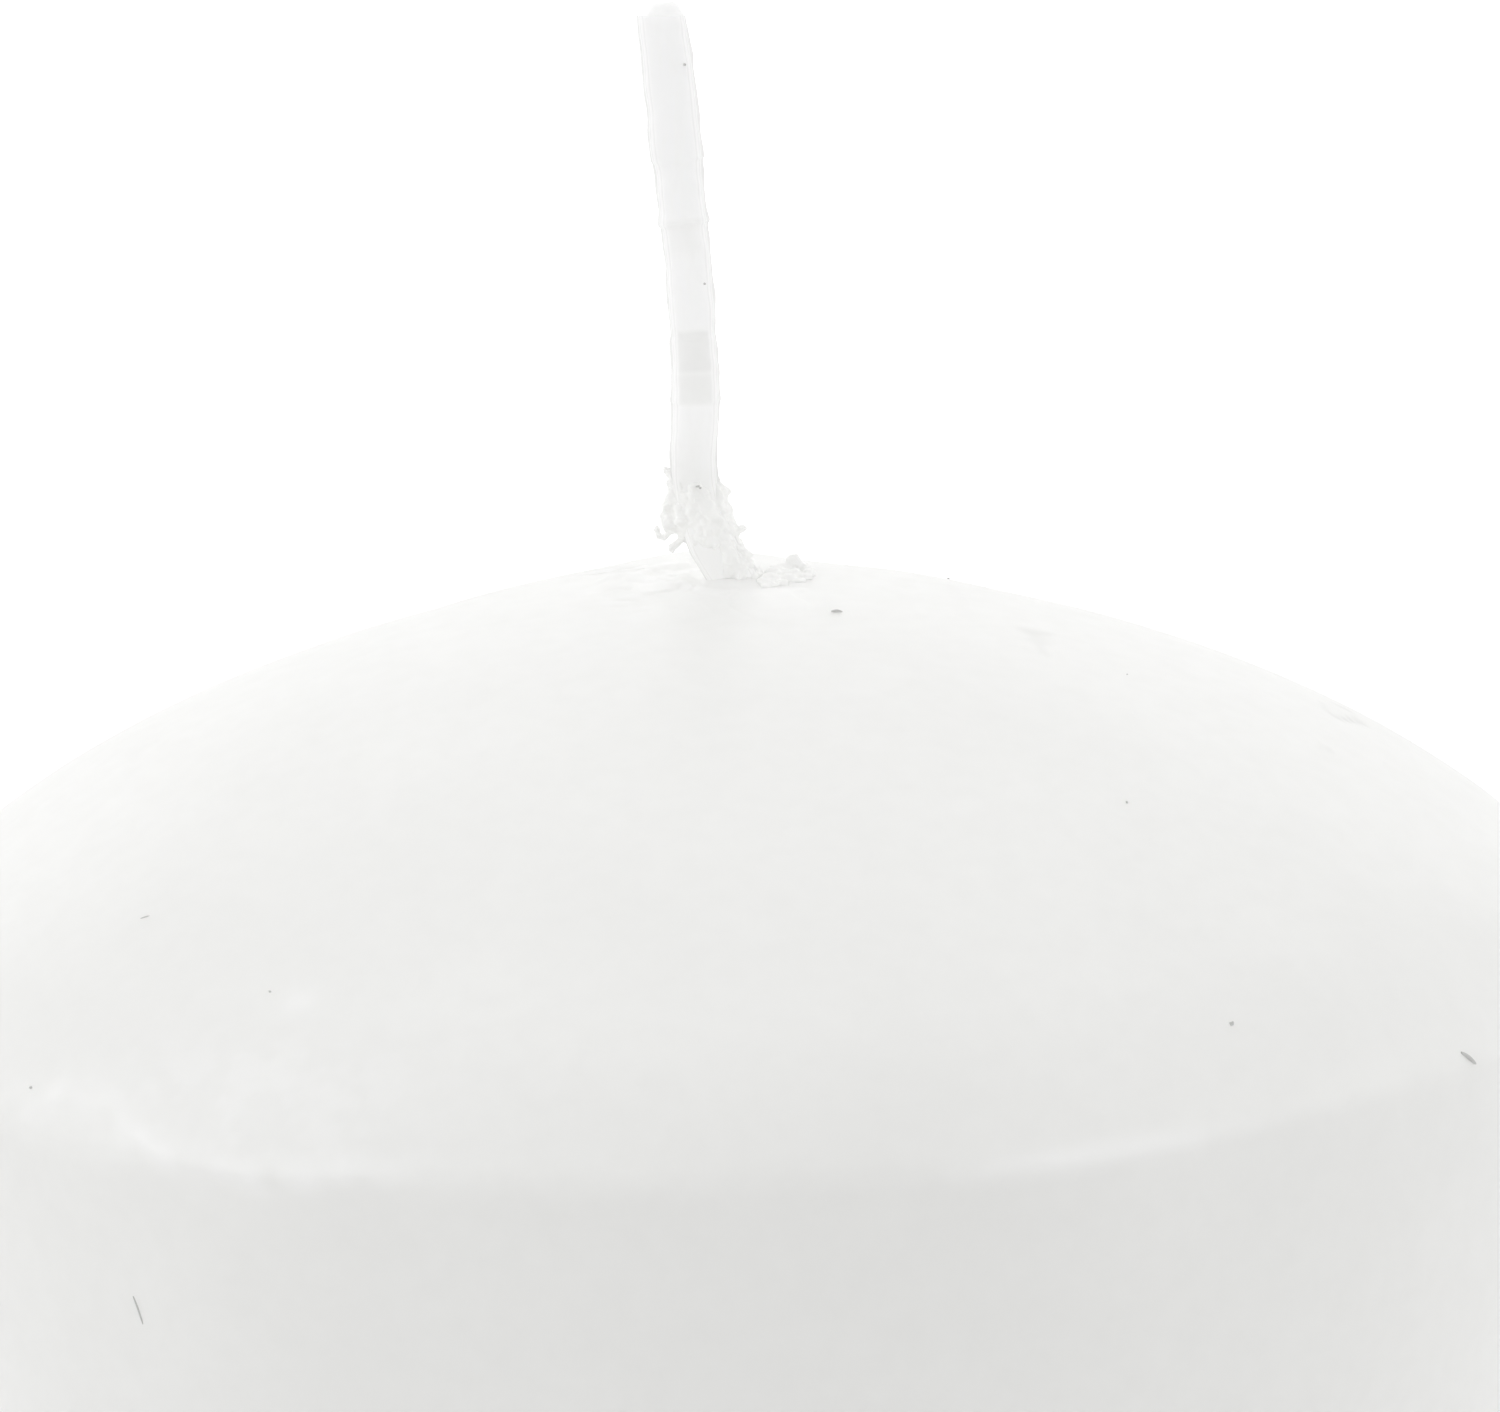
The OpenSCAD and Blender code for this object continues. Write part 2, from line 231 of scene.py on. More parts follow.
dish_z = crown_c[1] + np.sqrt(CROWN_R**2 - hole @ hole - DISH_R**2)
creep = np.linspace(0, 1, CREEP_RINGS + 1)[:-1] ** 0.8
crept_z = dish_z + (foot_z + MOUTH_RISE - dish_z) * creep**2.5
inside = [  # corners of the hole, the room for the disc's neck and the seat, with the points up to the next
    ([HOLE_R, foot_z + MOUTH_RISE], 3), ([HOLE_R, foot_z - MOUTH_H], 4), ([HOLE_R, 4.1], 2),
    ([1.18, 3.65], 3), ([1.68, SEAT_H], 5), ([seat_r, SEAT_H], 2), ([seat_r, 0], 0)]
profile = np.concatenate([
    straight([seat_r, 0], [base_c[0], 0], 8),
    arc(base_c, BASE_R, -90 * DEG, wall_side, 0.42),
    arc(wall_c, WALL_R, wall_side, -DRAFT, 0.25),
    arc(rim_c, EDGE_R, -DRAFT, rim_up, 0.055),
    arc(shoulder_c, SHOULDER_R, rim_up, crown_side, 0.14),
    arc(crown_c, CROWN_R, crown_side, fine_side, 0.2),
    arc(crown_c, CROWN_R, fine_side, dish_side, 0.09),
    np.stack([DISH_R + (HOLE_R - DISH_R) * creep, crept_z], -1),
    *(straight(here, there, count) for (here, count), (there, _) in zip(inside[:-1], inside[1:])),
])
print(f"profile of {len(profile)} points, rim at a height of {rim_z:.2f} mm")

# %% [markdown]
# The columns of points stand closest where the eye needs them, at the front left, where the rim was pressed
# and scuffed. The rings slide sideways as they come near the wick hole, and the crown's height is worked
# out afterwards from each point's true distance to the axis, so the dome stays round.

# %% The body as a grid over profile and angle
COLUMNS = 350
WICK_W, WICK_T, SQUARENESS = 1.14, 1.06, 3.4
SCUFF_AT, SCUFF_SPAN, SCUFF_DENSITY = 239 * DEG, 15 * DEG, 2.6
FRONT_AT, FRONT_SPAN, FRONT_DENSITY = 270 * DEG, 70 * DEG, 0.9
PULLED_R, FREE_R = 7.0, 12.0  # rings follow the hole up to the first radius, and the axis from the second
MOUTH_ROOM = 0.05


def column_angles(count):
    """Angles whose density is 1, plus a narrow bell round the scuff, plus a wide one round the front."""
    fine = np.linspace(0, 2 * np.pi, 4001)
    density = 1 + SCUFF_DENSITY * np.exp(-(((fine - SCUFF_AT) / SCUFF_SPAN) ** 2))
    density += FRONT_DENSITY * np.exp(-(((fine - FRONT_AT) / FRONT_SPAN) ** 2))
    total = np.concatenate([[0], np.cumsum((density[1:] + density[:-1]) / 2)])
    return np.interp(np.arange(count) / count * total[-1], total, fine)


def squarish(width, depth, angle):
    """Superellipse: each coordinate is its half size times cos or sin to the power 2 / SQUARENESS."""
    cos, sin = np.cos(angle), np.sin(angle)
    power = 2 / SQUARENESS
    return (width / 2 * np.sign(cos) * np.abs(cos) ** power, depth / 2 * np.sign(sin) * np.abs(sin) ** power)


def crown_height(x, y):
    """Height of the crown's sphere: centre + square root of (CROWN_R squared - x squared - y squared)."""
    return crown_c[1] + np.sqrt(CROWN_R**2 - x**2 - y**2)


def body_grid(profile, angles):
    """x = r cos(angle) + pull hx and y = r sin(angle) + pull hy, where pull fades from 1 at the hole to 0.

    On the crown z is the height of a sphere of CROWN_R over that point; elsewhere it is the profile's own.
    """
    r, z = profile[:, :1], profile[:, 1:]
    pull = 1 - step(r, PULLED_R, FREE_R)
    x = r * np.cos(angles) + pull * hole[0]
    y = r * np.sin(angles) + pull * hole[1]
    u, v = squarish(WICK_W + MOUTH_ROOM, WICK_T + MOUTH_ROOM, angles)
    near = np.clip((DISH_R - r) / (DISH_R - HOLE_R), 0, 1) * (z > foot_z - MOUTH_H - 0.01)
    lean = MOUTH_LEAN * np.clip((z - foot_z) / MOUTH_RISE, 0, 1)
    rim_of_dish = turn((0, 0), DISH_R, angles)
    x = np.where(near > 0, hole[0] + (1 - near) * rim_of_dish[0] + near * (u + lean), x)
    y = np.where(near > 0, hole[1] + (1 - near) * rim_of_dish[1] + near * v, y)
    on_crown = (z > crown_c[1] + CROWN_R * np.sin(crown_side)) & (r >= DISH_R)
    return np.stack([x, y, np.where(on_crown, crown_height(x, y), z + 0 * x)], -1)


angles = column_angles(COLUMNS)
body = body_grid(profile, angles)


def outward(grid):
    """Unit normals of a grid that is closed both ways: the cross product of its two directions."""
    across = np.roll(grid, -1, 1) - np.roll(grid, 1, 1)
    ahead = np.roll(grid, -1, 0) - np.roll(grid, 1, 0)
    return unit(np.cross(across, ahead))


normals = outward(body)

# %% [markdown]
# Now the marks of use. The rim was pressed flat at the front left, which pushed up a small lip above it, and
# next to that the wax is scuffed: a patch of crumbly relief with pits. The whole skin is very slightly wavy.
# All this is moved points and not bump, so the outline and the mesh itself have it too.

# %% The pressed flat, its lips and the scuff
FLAT_DEPTH, FLAT_AT, FLAT_TILT, FLAT_SOFT = 0.16, 228 * DEG, 14 * DEG, 0.03
OUTER_R = 12  # beyond this radius, each height over the base has one point of the profile


def on_rim(angle, height, out=0.0):
    """A point near the rim at an angle in degrees and a height, at the profile's own radius plus out."""
    order = np.argsort(profile[:, 1])
    outer = profile[order][profile[order][:, 0] > OUTER_R]
    r = np.interp(height, outer[:, 1], outer[:, 0]) + out
    return [*turn((0, 0), r, angle * DEG), height]


def rim_line(*places):
    """A line of points near the rim, each given as on_rim takes it."""
    return [on_rim(*place) for place in places]


def press_flat(points, depth, angle, tilt):
    """Pushes back what lies beyond a plane, whose distance from the rim's centre line is EDGE_R - depth.

    The push is a soft minimum, so the flat's edge is rounded over a few hundredths of a millimetre.
    """
    facing = direction(angle, tilt)
    centre = np.array([*turn((0, 0), rim_c[0], angle), rim_c[1]])
    over = (points - centre) @ facing - (EDGE_R - depth)
    return points - (np.logaddexp(0, over / FLAT_SOFT) * FLAT_SOFT)[..., None] * facing


body = press_flat(body, FLAT_DEPTH, FLAT_AT, FLAT_TILT)
around = np.arctan2(body[..., 1], body[..., 0]) / DEG % 360
LIP = rim_line(
    (223.8, 20.72), (224.9, 21.13), (226.6, 21.4), (228.9, 21.52), (230.9, 21.4), (232.9, 20.93),
    (234.6, 20.68), (237.1, 20.49), (239.8, 20.44), (242.3, 20.35), (244.9, 20.5), (247.6, 20.59),
    (250, 20.65))
LOW_EDGE = rim_line((223.8, 20.72), (227, 20.49), (230.7, 20.6), (233.2, 20.6))
PRESSED = rim_line((225.2, 20.95), (228, 21.05), (231, 20.95), (233, 20.75))
RIGHT_LIP = rim_line(
    (281.9, 20.47), (286.2, 20.51), (289.7, 20.52), (293.2, 20.53), (297.4, 20.6), (301.3, 20.66),
    (307.1, 20.72))
# The whitening along the lip, the pressed band, the low edge and the right lip is a painted highlight on the
# rim's edge, where it turns to the side lamps; the lip, the low edge and the right lip are also raised as
# real relief.
fade = (0.6 + 0.4 * step(around, 231, 236)) * (1 - 0.55 * step(around, 243, 250))
lip = along(body, LIP, 0.22) * fade
lip_highlight = along(body, LIP, 0.38) * fade * (0.8 + 0.25 * waves(body, 0.9, 24))
low_edge = along(body, LOW_EDGE, 0.15)
pressed = along(body, PRESSED, 0.36)
right_lip_and_highlight = along(body, RIGHT_LIP, 0.28) * (0.1 + 0.9 * np.exp(-(((around - 290.5) / 6.5) ** 2)))
right_lip_and_highlight *= 0.85 + 0.15 * waves(body, 1.8, 25)
patch = blob(body, on_rim(241.5, 21.9), np.array([4.2, 3.2, 1.1]))
patch = np.maximum(patch, 0.8 * blob(body, on_rim(248.5, 20.9), np.array([2.2, 1.4, 0.45])))
mottle = step(waves(body, 1.3, 11) + 0.6 * waves(body, 0.6, 12), -0.6, 1.6)
pits = step(waves(body, 0.8, 13), 1.3, 2.1)
front_rim = step(body[..., 2], rim_z - 0.9, rim_z) * step(-body[..., 2], -rim_z - 1.2, -rim_z - 0.2)

lift = 0.014 * waves(body, 11, 1) + 0.003 * waves(body, 2.8, 2)
lift += 0.045 * lip + 0.02 * low_edge + 0.03 * right_lip_and_highlight
lift += patch * (0.012 * mottle - 0.02 * pits)
lift += 0.015 * front_rim * waves(body, 3.4, 15)

# %% [markdown]
# The maker topped the candle up round its wick, where cooling wax sinks, so the far side of the dome has a
# low mound and, straight behind the wick, a swell. Round the foot the last wax set in thin ragged plates.
# Then come dimples, short scratches and small chips, whose broken skin is greyer. Each is a soft hill, pit or
# ridge that is added to the height, so where two of them meet they blend.

# %% Mound, plates, dimples, scratches and chips
MOUND = np.array([  # distance from the axis, and height over the turned dome
    [0, 0.15], [6.2, 0.15], [7.4, 0.08], [8.6, 0], [10, -0.01], [12, 0.03], [14, 0.09], [15.5, 0.12],
    [17.5, 0.14], [19.5, 0.08], [21.5, 0]])
SWELL_AT, SWELL_R, SWELL_H = np.array([hole[0] - 0.9, 6.0]), np.array([2.4, 5.0]), 0.35


def mound(x, y):
    """Height of the topped-up wax over the turned dome: MOUND's heights on the far side, plus the swell."""
    swell = SWELL_H * blob(np.stack([x, y], -1), SWELL_AT, SWELL_R)
    return np.interp(np.hypot(x, y), MOUND[:, 0], MOUND[:, 1]) * step(y, -4.5, 4) + swell


lift += mound(body[..., 0], body[..., 1]) * step(body[..., 2], rim_z, rim_z + 2)
off_wick = step(np.hypot(body[..., 0] - hole[0], body[..., 1]), 0.9, 1.4)
near_foot = blob(body, (-1.0, 0.3, 30), np.array([1.9, 2.4, 3])) * off_wick
plates = step(waves(body, 1.5, 16), 0.3, 0.55) + 0.6 * step(waves(body, 0.9, 17), 0.5, 0.75)
lift += near_foot * (0.09 * plates + 0.015 * waves(body, 0.6, 18))
right_plate = blob(body, (1.4, -2.6, 29.9), np.array([0.95, 1.7, 3])) ** 0.5
lift += 0.035 * step(right_plate + 0.12 * waves(body, 1.1, 19), 0.55, 0.75)
DIMPLES = [  # place, radius and height
    ((7.96, -2.9, 28.93), 0.42, -0.05), ((-2.6, 1.0, 29.95), 0.36, 0.13),
    ((-2.1, 0.7, 29.95), 0.36, 0.12), ((-1.3, 0.1, 30), 0.3, 0.08), ((-0.75, -0.5, 30), 0.3, 0.07),
    ((-9.57, -17.5, 23.63), 0.4, 0.05), ((-6.2, -9.5, 28.0), 0.5, -0.02), ((4.9, -8.2, 28.6), 0.4, -0.02),
    ((14.39, -16.93, 17.34), 0.3, -0.02), ((8.8, -20.06, 21.63), 0.28, -0.025),
    ((5.65, -20.4, 22.55), 0.22, -0.02), ((6.33, -21.2, 21.31), 0.28, -0.025),
    ((6.28, -20.58, 22.15), 0.24, 0.02), ((8.57, -19.63, 22.27), 0.26, 0.02),
    ((8.2, -20.4, 21.52), 0.5, 0.015), ((8.9, -18.12, 23.44), 0.26, 0.03),
    ((-8.47, -18.67, 23.2), 0.22, -0.02), ((-16.33, -12.82, 22.96), 0.24, -0.02),
    ((-13.1, -18.2, 19.46), 0.2, -0.02), ((-13.2, -17.9, 17.77), 0.2, -0.02)]
for place, radius, height in DIMPLES:
    lift += height * blob(body, place, radius)
GOUGE = [(15.75, -1.1, 26.2), (16.1, -0.6, 26), (16.5, 0, 25.8)]
SCRATCHES = [  # path, width and height
    (GOUGE, 0.2, -0.04),
    ([(15.9, 0, 26.1), (16.2, 0.4, 25.95), (16.6, 0.7, 25.7)], 0.2, 0.04),
    ([(-15.9, -0.6, 26.1), (-15.4, 0, 26.4), (-15, 0.5, 26.6)], 0.16, 0.04)]
for path, width, height in SCRATCHES:
    lift += height * along(body, path, width)
outside = step(np.hypot(body[..., 0] - hole[0], body[..., 1] - hole[1]), 0.8, 1.5)
outside *= step(body[..., 2], 0.3, 1.5)
body = body + normals * (lift * outside)[..., None]
body_piece = skin("wax_body_skin", body[None], wrap=True)
# This white value is partly real and partly painted: the scuffed patch and a small spot are whiter wax, and a
# plate in front of the heap is whiter too. Along the rim's lip and edge it is painted highlight, on the dots
# and plates left of the wick's foot it is painted highlight, and in front of the foot it is painted light
# where the wick shades the dome.
HIGHLIGHT_DOTS = [(-1.6, -0.2, 30), (-1.35, 0.6, 30), (-1.5, 2.0, 29.9), (-0.76, 0.75, 30), (-0.3, 1.3, 30)]
white = 0.75 * lip_highlight + 0.1 * pressed + 0.12 * low_edge + 0.9 * right_lip_and_highlight + patch * (0.3 + 0.35 * mottle)
white += 0.4 * blob(body, (-9.57, -17.5, 23.63), 0.45) + 0.3 * near_foot * plates
white += 0.6 * blob(body, (0.4, -0.8, 30), np.array([1.8, 1.8, 3])) + 0.15 * step(right_plate, 0.55, 0.75)
for place in HIGHLIGHT_DOTS:
    white += 0.7 * blob(body, place, 0.3)
keep_values(body_piece, "scuff_and_highlight", np.clip(white, 0, 1))
CHIPS = [  # path, width and how grey the broken skin is there
    (GOUGE, 0.12, 0.75), ([(16, 1.4, 26), (16.25, 1.35, 25.9), (16.45, 1.15, 25.8)], 0.16, 0.5),
    ([(15.55, 0.1, 26.3), (15.5, -0.95, 26.3)], 0.12, 0.25),
    ([(14.85, -5.2, 26.2), (15, -5, 26.15)], 0.1, 0.45),
    ([(7.7, -2.6, 29.03), (8.3, -2.6, 28.88)], 0.22, 0.22),
    ([(7.9, -2.9, 28.95), (8, -3.6, 28.88)], 0.28, 0.25), ([(8, -3.9, 28.85), (8.1, -4.6, 28.72)], 0.12, 0.2)]
grey = sum(share * along(body, path, width) for path, width, share in CHIPS)
keep_values(body_piece, "chip", np.clip(grey, 0, 1))

# %% [markdown]
# The wick is a flat-sided plaited cotton cord that was drawn through molten wax. Its route is a smooth curve
# through listed points, and its section is a superellipse, a square with round corners. The coat cracked into
# steps where the wick was bent. So the section is carried along the route, and its size changes with the
# height, quickly at each crack. A curve object with a bevel profile can't change its section so.

# %% The wick's route
ROUTE_H = 14.5
ROUTE = np.array([
    [0, 0, 0], [-0.28, -0.02, 0.5], [-0.56, -0.04, 1.05], [-0.8, -0.06, 1.7], [-0.97, -0.06, 2.45],
    [-1.01, -0.04, 3.25], [-0.94, 0, 4], [-0.89, 0.02, 4.8], [-0.9, 0.05, 6.3], [-0.96, 0.08, 7.9],
    [-1.06, 0.08, 9.5], [-1.16, 0.05, 11.1], [-1.28, 0.02, 12.8], [-1.43, 0, 14.5]])
TAIL, BEAD_ROOM = 2.5, 0.34
RINGS_OUT, RINGS_BURIED = 420, 12
foot = np.array([*hole, foot_z])
wick_out = wick_high[2] - BEAD_ROOM - foot_z
rise = wick_out / ROUTE_H
below = np.array([[0, 0, -TAIL * share] for share in (1, 0.6, 0.3)])
way = foot + np.concatenate([below, ROUTE * [1, 1, rise]])


def smooth_curve(points, steps):
    """Catmull-Rom curve: between two points, a cubic whose slopes are half the span of their neighbours."""
    padded = np.concatenate([points[:1], points, points[-1:]])
    a, b, c, d = (padded[i : len(points) - 1 + i, None] for i in range(4))
    t = (np.arange(steps) / steps)[None, :, None]
    curve = (2 * b + (c - a) * t + (2 * a - 5 * b + 4 * c - d) * t**2 + (3 * b - a - 3 * c + d) * t**3) / 2
    return np.concatenate([curve.reshape(-1, 3), points[-1:]])


def evenly(path, count):
    """The same path with its points at equal distances."""
    length = np.concatenate([[0], np.cumsum(np.linalg.norm(np.diff(path, axis=0), axis=1))])
    places = np.linspace(0, length[-1], count)
    return np.stack([np.interp(places, length, path[:, k]) for k in range(3)], -1)


line = evenly(smooth_curve(way, 24), RINGS_OUT)
depths = np.linspace(wick_low[2], foot_z - TAIL, RINGS_BURIED, endpoint=False)
line = np.concatenate([[[*hole, z] for z in depths], line])
print(f"wick stands {wick_out:.2f} mm out of the wax, {len(line)} rings")

# %% [markdown]
# Under the wax the plait still shows faintly, as slanting bumps that meet in a V on each flat side, fading at
# the corners. Bands near the corners and on the two narrow sides are kept for painted shade: the dark fine
# lines along the wick's edges. These and the middle of the front and back are kept on the mesh as values
# between 0 and 1, and so is the height over the dome, for the material to use.

# %% The wick's surface
COAT, PLAIT, SIDES = 0.04, 1.5, 112
COAT_STEPS = np.array([  # height over the dome, and thickness of the coat as a share of COAT
    [-30, 0], [-0.4, 0], [-0.3, 1], [4.68, 0.9], [4.78, 1.6], [5.05, 1.3], [6.34, 1.2], [6.4, 0.8],
    [9.2, 0.9], [9.28, 2.3], [9.6, 1.1], [10.82, 1.4], [10.9, 2.5], [12.6, 2.3], [13.6, 1.8], [14.5, 1.2]])
CORNER_AT, CORNER_WIDTH = 0.375, 0.015
LEVEL_CUT, CUT_H = 0.12, 0.5


def frames(path):
    """Across and back directions, square to the path, with across kept as near +X as it can be."""
    ahead = unit(np.gradient(path, axis=0))
    across = unit(np.cross([0, 1, 0], ahead))
    return across, np.cross(ahead, across)


side = 2 * np.pi * (np.arange(SIDES) + 0.5) / SIDES
height = (line[:, 2] - foot_z)[:, None] / rise
across, back = frames(line)
out = np.clip(height, 0, 1)
coat = COAT * np.interp(height, COAT_STEPS[:, 0], COAT_STEPS[:, 1])
u, v = squarish(1, 1, side)
corner = np.exp(-(((np.minimum(np.abs(u), np.abs(v)) - CORNER_AT) / CORNER_WIDTH) ** 2))
plait = np.cos(2 * np.pi * (height / PLAIT + np.abs(np.sin(2 * side)) * 0.35))
span = WICK_W + 2 * coat, WICK_T + 2 * coat
place = line[:, None] + across[:, None] * (u * span[0])[..., None] + back[:, None] * (v * span[1])[..., None]
uneven = 0.012 * waves(place, 1.6, 21) + 0.006 * waves(place, 0.5, 22) + 0.004 * plait * (1 - corner)
wick = place + unit(place - line[:, None]) * (uneven * out)[..., None]
wick[..., 2] -= LEVEL_CUT * (wick[..., 0] - line[-1, 0]) * step(height, ROUTE_H - CUT_H, ROUTE_H)

# %% [markdown]
# The cut tip is closed by rings that shrink towards its middle. A small bead of clear wax set on it, a
# little to the right, and the cut itself is not quite level. At the foot the wick simply ends inside its
# metal neck.

# %% The cut tip and its bead
TIP_RINGS = 14
BEAD_H, BEAD_AT, BEAD_R = 0.31, np.array([0.12, 0.0]), np.array([0.43, 0.42])
shrink = np.cos(np.linspace(0, np.pi / 2, TIP_RINGS + 1)[1:]) ** 0.7
cut_middle = wick[-1].mean(0)
tip = cut_middle + (wick[-1] - cut_middle) * shrink[:, None, None]
off_bead = ((tip - cut_middle)[..., :2] - BEAD_AT) / BEAD_R
bead = BEAD_H * np.exp(-((off_bead**2).sum(-1) ** 3))
tip[..., 2] += (bead + 0.02 * waves(tip, 0.5, 23)) * (1 - shrink[:, None] ** 8)
wick = np.concatenate([wick, tip])
wick_piece = skin("waxed_wick", wick[None])
# The corner and edge values also carry painted shade: the material darkens the wick's colour there.
KEPT = [  # name, value along the wick and value on its tip
    ("corner", corner, 0.0), ("edge_shade", step(np.abs(u), 0.445, 0.475), 0.4),
    ("middle", 1 - step(np.abs(u), 0.3, 0.38), 0.0), ("height", height, ROUTE_H)]
for name, values, at_tip in KEPT:
    along_wick = np.broadcast_to(values, place.shape[:2])
    keep_values(wick_piece, name, np.concatenate([along_wick, np.full((TIP_RINGS, SIDES), at_tip)]))

# %% [markdown]
# Crumbs are broken bits, neither round nor square. Each starts as a ball whose radius is changed by waves,
# so it gets dents and corners. Dozens of them are laid round the wick's foot and then melted into one skin
# by a voxel remesh, which also welds them as warm wax does, and a few rounds of smoothing take off its steps.
# Boolean unions of so many balls would be slow and would leave slivers.

# %% Broken lumps of wax
LUMP_WAVE, SQUASH, VOXEL = 1.5, 0.25, 0.03


def lumps(centres, sizes, seed, rings=14, count=20, rough=0.22, flat=1.0):
    """Balls about each centre: radius = size / 2 times (1 + rough waves), and heights times flat."""
    rng = np.random.default_rng(seed)
    polar = np.pi * (np.arange(rings) + 0.5)[:, None] / rings
    turn_at = 2 * np.pi * np.arange(count) / count
    x, y = np.sin(polar) * np.cos(turn_at), np.sin(polar) * np.sin(turn_at)
    ball = np.stack([x, y, -np.cos(polar) + 0 * turn_at], -1)
    ball = np.broadcast_to(ball, (len(centres), rings, count, 3))
    shift = rng.uniform(-50, 50, (len(centres), 1, 1, 3))
    stretch = 1 + SQUASH * rng.uniform(-1, 1, (len(centres), 1, 1, 3))
    uneven = 1 + rough * waves(ball + shift, LUMP_WAVE, seed)[..., None]
    radius = np.array(sizes)[:, None, None, None] / 2 * uneven
    return np.array(centres)[:, None, None] + ball * stretch * radius * [1, 1, flat]


def melt(piece, rounds):
    """Fuses a piece's overlapping lumps with a voxel remesh, smooths the skin and applies both."""
    remesh = piece.modifiers.new("melt", "REMESH")
    remesh.mode = "VOXEL"
    remesh.voxel_size = VOXEL * MM
    remesh.use_smooth_shade = True
    rounding = piece.modifiers.new("round", "SMOOTH")
    rounding.iterations = rounds
    bpy.context.view_layer.update()
    made = bpy.data.meshes.new_from_object(piece.evaluated_get(bpy.context.evaluated_depsgraph_get()))
    piece.modifiers.clear()
    old, piece.data = piece.data, made
    made.name = old.name
    bpy.data.meshes.remove(old)
    print(f"{piece.name}: {len(made.polygons)} faces after the remesh")


def wick_at(height):
    """Middle of the wick at heights over the dome."""
    x, y = (np.interp(height, ROUTE[:, 2], foot[k] + ROUTE[:, k]) for k in (0, 1))
    return np.stack([x, y, foot_z + height * rise], -1)


# %% [markdown]
# The collar of crumbs covers the wick all round from about one and a half to three millimetres over the dome.
# Below that only its right side has crumbs. They lie close, with their middles on the wick's own surface, so
# that only half of each shows. Two curled shavings hang off the left, as short chains of small lumps.

# %% The collar on the wick
COVER = np.array([  # height over the dome, first and last angle round the wick that have crumbs
    (0.05, -60, 85), (1.1, -62, 100), (1.35, -175, 180), (2.4, -175, 185), (2.6, -60, 215), (2.85, 100, 240),
    (3, 150, 200)])
ROW_STEP, CRUMB_STEP = 0.12, 12
CRUMB_SIZES, SHAVING_SIZES, SHAVING_LUMPS = (0.28, 0.44), (0.13, 0.18), 16
BULGE = np.array([  # extra crumbs: right of the hole, behind it, height over the dome, size
    (-1.66, -0.1, 2.0, 0.44), (-1.74, 0.05, 1.82, 0.38), (-1.66, 0.1, 2.15, 0.36), (-1.66, -0.15, 1.62, 0.4),
    (-1.74, 0, 1.7, 0.3), (-1.64, 0, 2.92, 0.28), (-1.7, -0.05, 2.98, 0.22), (0.12, 0, 1.42, 0.3),
    (0.2, 0.05, 1.46, 0.2), (-0.3, 0, 2.4, 0.34), (-0.25, -0.1, 2.3, 0.3)])
SHAVINGS = [  # points right of the hole, behind it and over the dome
    [(-1.5, -0.12, 1.5), (-1.68, -0.14, 1.42), (-1.8, -0.15, 1.3), (-1.9, -0.14, 1.3), (-1.99, -0.12, 1.42),
     (-2.0, -0.1, 1.55)],
    [(-1.28, -0.15, 1.27), (-1.46, -0.18, 1.16), (-1.6, -0.2, 1.07), (-1.67, -0.22, 1.0)]]
rng = np.random.default_rng(5)
centres, sizes = [], []
for level in np.arange(COVER[0, 0], COVER[-1, 0], ROW_STEP):
    first, last = (np.interp(level, COVER[:, 0], COVER[:, k]) for k in (1, 2))
    count = max(2, int((last - first) / CRUMB_STEP))
    angle = np.linspace(first, last, count) * DEG + rng.uniform(-0.12, 0.12, count)
    heights = level + rng.uniform(-0.07, 0.07, count)
    spread = rng.uniform(-0.1, 0.01, count) - 0.08 * step(level, 2.0, 2.6)
    row = wick_at(heights)
    row[:, 0] += np.cos(angle) * (WICK_W / 2 + spread)
    row[:, 1] += np.sin(angle) * (WICK_T / 2 + spread)
    centres.append(row)
    sizes.append(rng.uniform(*CRUMB_SIZES, count))
centres.append(foot + BULGE[:, :3])
sizes.append(BULGE[:, 3])
for path in SHAVINGS:
    centres.append(evenly(smooth_curve(foot + np.array(path), 8), SHAVING_LUMPS))
    sizes.append(rng.uniform(*SHAVING_SIZES, SHAVING_LUMPS))
collar = skin("wick_crumb_collar", lumps(np.concatenate(centres), np.concatenate(sizes), 31))
melt(collar, rounds=2)

# %% [markdown]
# The heap to the right of the foot rests on the dome: each crumb's height is worked out from the mounded
# dome under it. Its crumbs are larger than those on the wick and half sunk into one another.

# %% The heap on the dome
HEAP = np.array([  # right of the hole, behind it, height over the dome under it, size
    (1.48, 1.1, 0.27, 0.6), (1.7, 0.95, 0.16, 0.4), (1.25, 0.95, 0.08, 0.5), (1.15, 0.4, 0.0, 0.56),
    (1.45, 0.35, 0.0, 0.52), (1.2, -0.1, -0.04, 0.54), (1.12, -0.55, -0.06, 0.5), (1.55, -0.15, -0.05, 0.5),
    (0.85, -0.8, -0.05, 0.44), (1.75, 0.25, -0.04, 0.44), (0.85, 0.25, 0.06, 0.5), (0.85, -0.35, 0.02, 0.5),
    (1.3, -0.95, -0.09, 0.44), (1.85, 0.75, -0.02, 0.4), (1.3, 1.3, 0.02, 0.44), (1.0, 0.7, 0.08, 0.5),
    (0.72, -0.55, 0.02, 0.42), (0.72, -0.85, -0.04, 0.4)])


def on_dome(x, y, over):
    """Points at a height over the mounded dome: the crown's height there, plus the mound's, plus over."""
    return np.stack([x, y, crown_height(x, y) + mound(x, y) + over], -1)


heap_places = on_dome(foot[0] + HEAP[:, 0], foot[1] + HEAP[:, 1], HEAP[:, 2])
heap = skin("crumb_heap", lumps(heap_places, HEAP[:, 3], 33, rough=0.12, flat=0.75))
melt(heap, rounds=3)

